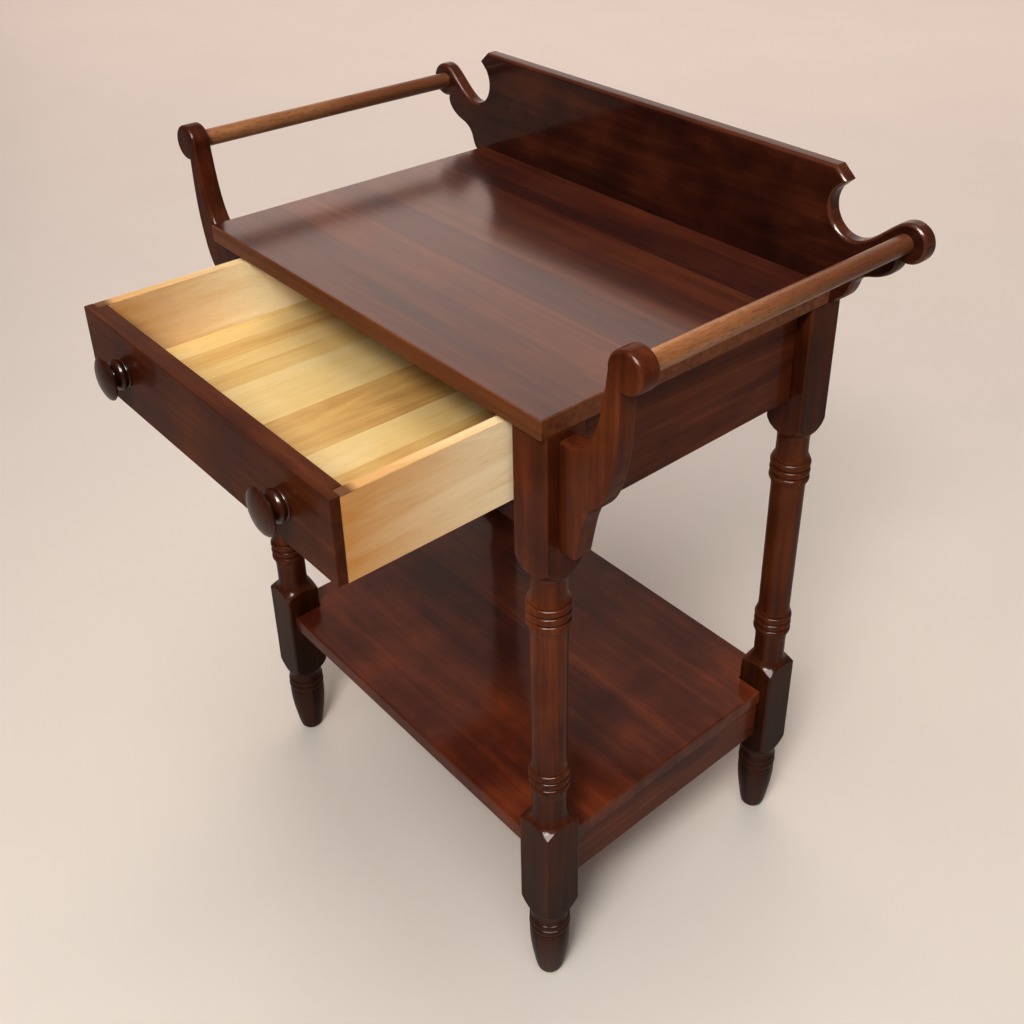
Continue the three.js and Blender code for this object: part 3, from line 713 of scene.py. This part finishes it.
def makeLegs():
    low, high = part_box("front_right_leg")
    middle = (low + high) / 2
    lathe = turnPiece("turning", legProfile(high.z * 1000), legValues["steps"])
    place(lathe, (middle.x, middle.y, 0))
    spare = Vector((0, 0, legValues["blankSpare"]))
    leg = startBlock("leg", low - spare, high + spare)
    roundEdges(leg, edgeAlong(2), legValues["cornerEase"], 4)
    applyModifier(leg, "BOOLEAN", operation="INTERSECT", object=lathe, solver="EXACT")
    bpy.data.objects.remove(lathe)
    openForEditing(leg)
    bpy.ops.mesh.select_all(action="SELECT")
    bpy.ops.mesh.remove_doubles(threshold=legValues["weld"])
    closeEditing()

    def shoulder(edge):  # where the turning runs out into a flat of the blank
        if len(edge.link_faces) != 2:
            return False
        normals = [face.normal for face in edge.link_faces]
        flat = [max(abs(normal.x), abs(normal.y)) > legValues["flatFace"] for normal in normals]
        return flat[0] != flat[1] and max(abs(normal.z) for normal in normals) > legValues["runOut"]

    roundEdges(leg, shoulder, legValues["shoulderEase"], 2)
    for end in ("front", "back"):
        for side in sideNames.values():
            node = end + "_" + side + "_leg"
            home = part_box(node)[0]
            twin = copyPiece(leg, end + "_" + side + "_post")
            place(twin, (home.x - low.x, home.y - low.y, 0))
            # the rear legs take the darker copy of the same wood, painted shade
            finish = alongZ if end == "front" else rearLegShadedWood
            finishPiece(twin, finish, "frame", [node], legValues["smoothAngle"])
    bpy.data.objects.remove(leg)


drawerValues = {
    "lip": mm(9.5), "sideThickness": mm(11), "gap": mm(0.3), "frontEase": mm(1.0), "sideEase": mm(1.6),
    "grooveDepth": mm(5.5),
}


def makeDrawerFront():
    low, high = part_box("drawer_front")
    values = drawerValues
    piece = startBlock("drawer_face", low, (high.x, low.y + values["lip"], high.z))
    inner = high.x - values["sideThickness"] - values["gap"]
    openForEditing(piece)
    for cut in (-inner, inner):
        bpy.ops.mesh.select_all(action="SELECT")
        bpy.ops.mesh.bisect(plane_co=(cut, 0, 0), plane_no=(1, 0, 0))
    pick(piece, "FACE", lambda face: face.normal.y > 0.9 and abs(face.calc_center_median().x) < inner)
    depth = high.y - low.y - values["lip"]
    bpy.ops.mesh.extrude_region_move(TRANSFORM_OT_translate={"value": (0, depth, 0)})
    bpy.ops.mesh.select_all(action="SELECT")
    bpy.ops.mesh.normals_make_consistent(inside=False)
    bpy.ops.mesh.dissolve_limited(angle_limit=math.radians(1))
    closeEditing()
    roundEdges(piece, lambda edge: edge.calc_face_angle(0) > 1, values["frontEase"], 3)
    finishPiece(piece, alongX, "drawer", ["drawer_front"])


def makeDrawerSides():
    values = drawerValues
    bottomLow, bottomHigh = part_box("drawer_bottom")
    grooveLow, grooveHigh = bottomLow.z - values["gap"], bottomHigh.z + values["gap"]
    for side, name in sideNames.items():
        low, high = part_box(name + "_drawer_side")
        piece = startBlock(name + "_drawer_board", low, high)
        openForEditing(piece)
        for cut in (grooveLow, grooveHigh):
            bpy.ops.mesh.select_all(action="SELECT")
            bpy.ops.mesh.bisect(plane_co=(0, 0, cut), plane_no=(0, 0, 1))

        def atGroove(face):
            return face.normal.x * side < -0.9 and grooveLow < face.calc_center_median().z < grooveHigh

        pick(piece, "FACE", atGroove)
        depth = values["grooveDepth"] * side
        bpy.ops.mesh.extrude_region_move(TRANSFORM_OT_translate={"value": (depth, 0, 0)})
        bpy.ops.mesh.select_all(action="SELECT")
        bpy.ops.mesh.normals_make_consistent(inside=False)
        closeEditing()
        roundEdges(piece, edgeOn(2, high.z), values["sideEase"], 3)
        finishPiece(
            piece, drawerBoard, "drawer", [name + "_drawer_side"],
            wornAndBounceLitFace=lambda face: face.normal.z > 0.9,
        )


knobValues = {
    "steps": 48,
    "profile": (  # (radius, height) in mm from the drawer front out
        (0, 0), (13.8, 0), (14.3, 0.4), (14.3, 1.3), (13.6, 2.0), (13.5, 2.6), (14.5, 3.8), (15.2, 5.2),
        (15.5, 6.8), (15.2, 8.4), (14.2, 9.9), (12.5, 11.2), (10.6, 12.1), (9.4, 13.0), (9.3, 14.0),
        (10.2, 15.0), (13.2, 15.8), (17.6, 16.6), (20.6, 17.5), (21.8, 18.5), (21.9, 19.6), (21.0, 20.7),
        (18.4, 22.0), (14.6, 23.3), (10.0, 24.3), (5.0, 24.8), (0, 25.0),
    ),
}


def makeKnobs():
    low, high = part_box("right_knob")
    middle = (low + high) / 2
    profile = [(mm(radius), mm(height)) for radius, height in knobValues["profile"]]
    knob = turnPiece("right_drawer_pull", profile, knobValues["steps"])
    place(knob, (middle.x, high.y, middle.z), (math.radians(90), 0, 0))
    twin = copyPiece(knob, "left_drawer_pull")
    mirrorAcross(twin)
    for piece, side in ((knob, "right"), (twin, "left")):
        finishPiece(piece, knobWood, "drawer", [side + "_knob"])


makeTabletop()
makeShelf()
makeBacksplash()
makeBrackets()
makeTowelBars()
print("table top, shelf, back splash, brackets and bars done")
makeLegs()
print("legs done")
makeDrawerFront()
makeDrawerSides()
makeKnobs()
print("drawer done")
for nodeName, node in cadNodes.items():
    if not node.hide_render:
        dressKeptPart(nodeName, node)
print("kept parts dressed")


roomValues = {
    "floorSize": 30, "floorColour": (0.64, 0.60, 0.56), "floorMottle": 0.97, "floorRough": 0.45,
    "worldColour": (1.0, 0.90, 0.80), "worldStrength": 0.14,
    "daylight": 0.95, "daylightFrom": (0.25, -0.35, 1), "daylightSpread": 35,
    "lamps": {  # place, aim, width, height, power, colour
        "key": ((1.35, -1.75, 2.8), (0, 0, 0.45), 0.7, 0.7, 62, (1.0, 0.95, 0.88)),
        "ceiling": ((-0.1, 0.0, 3.2), (0, 0, 0.45), 1.3, 1.3, 17, (1.0, 0.96, 0.91)),
        "paleWall": ((-3.3, 3.6, 2.6), (0, 0, 0.75), 7.5, 4.6, 145, (1.0, 0.78, 0.69)),
        "glint": ((0.75, -1.5, 1.9), (0.1, 0, 0.5), 0.12, 0.12, 5, (1.0, 0.97, 0.93)),
        "skylight": ((1.15, -0.85, 2.9), (0.2, 0, 0.4), 2.0, 1.3, 300, (1.0, 0.96, 0.92)),
    },
    "seenInGlossOnly": ("skylight",),
    "gamma": 0.88, "exposure": 0.16,
}


def makeRoom():
    bpy.ops.object.select_all(action="DESELECT")
    bpy.ops.mesh.primitive_plane_add(size=roomValues["floorSize"], location=(0, 0, 0))
    floor = nameNew("floor")
    material = bpy.data.materials.new("paleFloor")
    material.use_nodes = True
    tree = material.node_tree
    shader = tree.nodes["Principled BSDF"]
    coords = addNode(tree, "ShaderNodeTexCoord").outputs["Object"]
    cloudy = {"Vector": coords, "Scale": 3.0, "Detail": 4.0}
    mottle = addNode(tree, "ShaderNodeTexNoise", cloudy).outputs[0]
    pale = roomValues["floorColour"]
    duller = tuple(part * roomValues["floorMottle"] for part in pale)
    colour = colourRamp(tree, mottle, ((0.3, duller), (0.7, pale)))
    tree.links.new(colour, shader.inputs["Base Color"])
    shader.inputs["Roughness"].default_value = roomValues["floorRough"]
    floor.data.materials.append(material)
    world = bpy.data.worlds.new("softRoom")
    world.use_nodes = True
    background = world.node_tree.nodes["Background"]
    background.inputs["Color"].default_value = (*roomValues["worldColour"], 1)
    background.inputs["Strength"].default_value = roomValues["worldStrength"]
    bpy.context.scene.world = world
    daylight = bpy.data.lights.new("daylight", "SUN")
    daylight.energy = roomValues["daylight"]
    daylight.angle = math.radians(roomValues["daylightSpread"])
    holder = bpy.data.objects.new("daylight", daylight)
    bpy.context.scene.collection.objects.link(holder)
    holder.rotation_euler = Vector(roomValues["daylightFrom"]).to_track_quat("Z", "Y").to_euler()
    for name, (location, aim, width, height, power, colour) in roomValues["lamps"].items():
        lamp = bpy.data.lights.new(name, "AREA")
        lamp.shape = "RECTANGLE"
        lamp.size, lamp.size_y = width, height
        lamp.energy = power
        lamp.color = colour
        holder = bpy.data.objects.new(name, lamp)
        bpy.context.scene.collection.objects.link(holder)
        holder.location = location
        holder.rotation_euler = (Vector(aim) - Vector(location)).to_track_quat("-Z", "Y").to_euler()
        holder.visible_diffuse = name not in roomValues["seenInGlossOnly"]


cameraValues = {
    "place": (0.8988, -0.6509, 1.2601), "turn": 47.763, "tilt": -30.168, "roll": 0.206,
    "lens": 43.35, "sensor": 36, "shift": (-0.0487, -0.1267),
}


def makeCamera():
    camera = bpy.data.cameras.new("camera")
    holder = bpy.data.objects.new("camera", camera)
    bpy.context.scene.collection.objects.link(holder)
    holder.matrix_world = (
        Matrix.Translation(cameraValues["place"])
        @ Matrix.Rotation(math.radians(cameraValues["turn"]), 4, "Z")
        @ Matrix.Rotation(math.radians(90 + cameraValues["tilt"]), 4, "X")
        @ Matrix.Rotation(math.radians(cameraValues["roll"]), 4, "Z")
    )
    camera.sensor_width = cameraValues["sensor"]
    camera.lens = cameraValues["lens"]
    camera.shift_x, camera.shift_y = cameraValues["shift"]
    bpy.context.scene.camera = holder


makeRoom()
makeCamera()
view = bpy.context.scene.view_settings
view.view_transform = "Standard"
view.gamma, view.exposure = roomValues["gamma"], roomValues["exposure"]
print("room and camera done")
